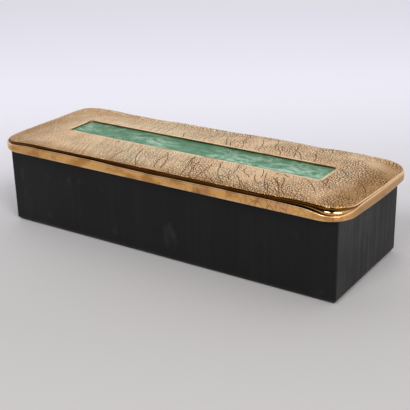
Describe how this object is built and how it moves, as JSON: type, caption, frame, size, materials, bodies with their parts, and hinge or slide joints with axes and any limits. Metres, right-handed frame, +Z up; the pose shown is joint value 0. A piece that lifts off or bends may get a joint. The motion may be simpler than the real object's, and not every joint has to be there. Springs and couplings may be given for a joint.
{
  "type": "lidded ink box with writing set",
  "caption": "Long black wooden box with a heavy lift-off crackled gilt lid and green strip panel, holding an inkstone, water dropper, ink stick and brushes.",
  "frame": {"origin": "middle of the box's underside, on the surface that it stands on", "axes": "+X along the length, -Y to the front wall, +Z up"},
  "size_m": [0.3148, 0.1164, 0.0751],
  "materials": {
    "black_wood": "black painted, satin",
    "base_wood": "black stained, matt",
    "floor_cloth": "napped cloth",
    "gilt_bronze": "gilt casting, crackled, polished along the lip",
    "copper": "plain copper sheet",
    "green_enamel": "mottled, glossy",
    "liner_wood": "black stained, satin",
    "brass_screws": "turned",
    "lid_cloth": "napped cloth",
    "black_lacquer": "black lacquer, glossy",
    "slate": "fine ground slate",
    "dropper_copper": "burnished copper",
    "pressed_ink": "moulded soot and glue, satin",
    "tray_lacquer": "black lacquer, glossy",
    "bamboo": "scraped cane, satin",
    "horn": "polished dark horn",
    "brush_hair": "fine animal hair, dry"
  },
  "bodies": {
    "box": {"front_wall": "black_wood", "right_wall": "black_wood", "back_wall": "black_wood", "left_wall": "black_wood", "base_board": "base_wood", "floor_lining": "floor_cloth"},
    "lid": {"lid_shell": "gilt_bronze", "panel_plate": "copper", "panel_enamel": "green_enamel", "lid_liner_board": "liner_wood", "liner_screws": "brass_screws", "lid_lining": "lid_cloth"},
    "ink_board": {"ink_board": "black_lacquer"},
    "inkstone": {"inkstone": "slate"},
    "dropper": {"dropper_shell": "dropper_copper", "dropper_base": "dropper_copper", "dropper_spout": "dropper_copper"},
    "ink_stick": {"ink_stick": "pressed_ink"},
    "brush_tray": {"tray_floor": "tray_lacquer", "tray_front_side": "tray_lacquer", "tray_back_side": "tray_lacquer", "tray_left_end": "tray_lacquer", "tray_right_end": "tray_lacquer", "left_brush_rest": "tray_lacquer", "right_brush_rest": "tray_lacquer"},
    "large_brush": {"large_brush_handle": "bamboo", "large_brush_ferrule": "horn", "large_brush_tuft": "brush_hair"},
    "small_brush": {"small_brush_handle": "bamboo", "small_brush_tuft": "brush_hair"}
  },
  "joints": [
    {"name": "lid_lift", "type": "slide", "parent": "box", "child": "lid", "axis": [0, 0, 1], "range_m": [0, 0.12]},
    {"name": "ink_board_lift", "type": "slide", "parent": "box", "child": "ink_board", "axis": [0, 0, 1], "range_m": [0, 0.014]},
    {"name": "inkstone_lift", "type": "slide", "parent": "ink_board", "child": "inkstone", "axis": [0, 0, 1], "range_m": [0, 0.012]},
    {"name": "dropper_lift", "type": "slide", "parent": "ink_board", "child": "dropper", "axis": [0, 0, 1], "range_m": [0, 0.012]},
    {"name": "ink_stick_lift", "type": "slide", "parent": "ink_board", "child": "ink_stick", "axis": [0, 0, 1], "range_m": [0, 0.018]},
    {"name": "brush_tray_lift", "type": "slide", "parent": "box", "child": "brush_tray", "axis": [0, 0, 1], "range_m": [0, 0.016]},
    {"name": "large_brush_lift", "type": "slide", "parent": "brush_tray", "child": "large_brush", "axis": [0, 0, 1], "range_m": [0, 0.016]},
    {"name": "small_brush_lift", "type": "slide", "parent": "brush_tray", "child": "small_brush", "axis": [0, 0, 1], "range_m": [0, 0.016]}
  ]
}
